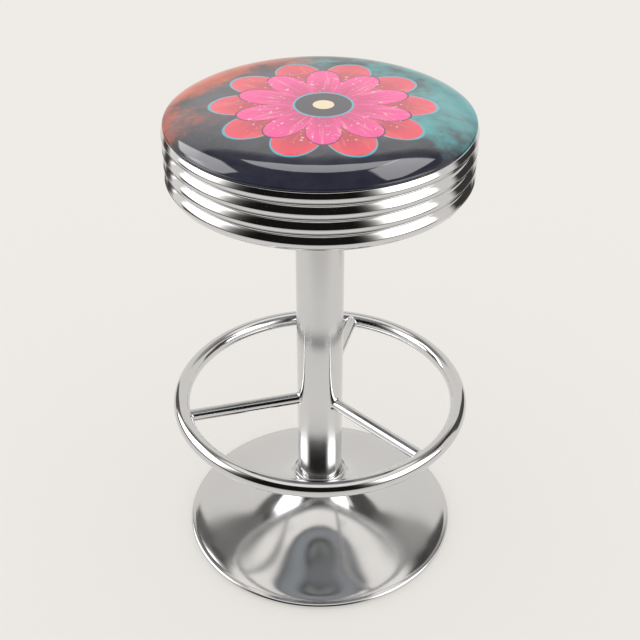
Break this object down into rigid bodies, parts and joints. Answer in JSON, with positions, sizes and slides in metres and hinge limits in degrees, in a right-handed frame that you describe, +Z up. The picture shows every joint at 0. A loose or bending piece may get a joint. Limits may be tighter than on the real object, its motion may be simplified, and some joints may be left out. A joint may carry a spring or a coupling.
{
  "type": "diner counter stool",
  "caption": "Round padded counter stool with a ribbed chrome band, a swivelling seat, a footrest hoop on three spokes and a weighted trumpet base.",
  "frame": {"origin": "on the floor, under the column's axis", "axes": "+Z up along the column's axis; -Y towards the viewer of the picture, +X to the viewer's right"},
  "size_m": [0.4012, 0.4012, 0.6537],
  "materials": {
    "chrome": "bright chrome plate",
    "satin_chrome": "chrome plate over spun steel, slightly soft",
    "plain_steel": "zinc-plated steel",
    "black_steel": "pressed steel, black paint",
    "cast_iron": "cast iron, black paint",
    "bronze": "oiled bronze",
    "rubber": "matte black rubber",
    "plywood": "birch plywood, its underside sealed blue-grey",
    "foam": "open-cell foam",
    "printed_vinyl": "glossy printed vinyl"
  },
  "bodies": {
    "base": {"floor_ring": "rubber", "base_cover": "satin_chrome", "ballast_plate": "cast_iron", "clamp_washer": "plain_steel", "clamp_bolt": "plain_steel", "column_foot_plug": "plain_steel", "column_tube": "chrome", "neck_collar": "chrome", "footrest_hoop": "chrome", "footrest_spoke_1": "chrome", "footrest_spoke_2": "chrome", "footrest_spoke_3": "chrome", "bearing_housing": "plain_steel", "upper_bush": "bronze", "lower_bush": "bronze", "lower_race": "plain_steel"},
    "bearing_cage": {"ball_cage": "bronze", "ball_1": "plain_steel", "ball_2": "plain_steel", "ball_3": "plain_steel", "ball_4": "plain_steel", "ball_5": "plain_steel", "ball_6": "plain_steel", "ball_7": "plain_steel", "ball_8": "plain_steel"},
    "seat": {"upper_race": "plain_steel", "spindle": "plain_steel", "spindle_flange": "plain_steel", "spindle_washer": "plain_steel", "spindle_nut": "plain_steel", "swivel_plate": "black_steel", "plate_bolt_1": "plain_steel", "plate_bolt_2": "plain_steel", "plate_bolt_3": "plain_steel", "plate_bolt_4": "plain_steel", "seat_board": "plywood", "board_insert_1": "plain_steel", "board_insert_2": "plain_steel", "board_insert_3": "plain_steel", "board_insert_4": "plain_steel", "seat_cover": "printed_vinyl", "seat_foam": "foam", "ring_band": "chrome", "band_splice_plate": "plain_steel", "band_bracket_1": "plain_steel", "band_bracket_2": "plain_steel", "band_bracket_3": "plain_steel", "band_bracket_4": "plain_steel", "band_screw_1": "plain_steel", "band_screw_2": "plain_steel", "band_screw_3": "plain_steel", "band_screw_4": "plain_steel"}
  },
  "joints": [
    {"name": "seat_swivel", "type": "hinge", "parent": "base", "child": "seat", "pos_m": [0, 0, 0.55], "axis": [0, 0, 1], "continuous": true},
    {"name": "cage_roll", "type": "hinge", "parent": "base", "child": "bearing_cage", "pos_m": [0, 0, 0.5935], "axis": [0, 0, 1], "continuous": true}
  ],
  "couplings": [
    {"joint": "cage_roll", "follows": "seat_swivel", "ratio": 0.5}
  ]
}
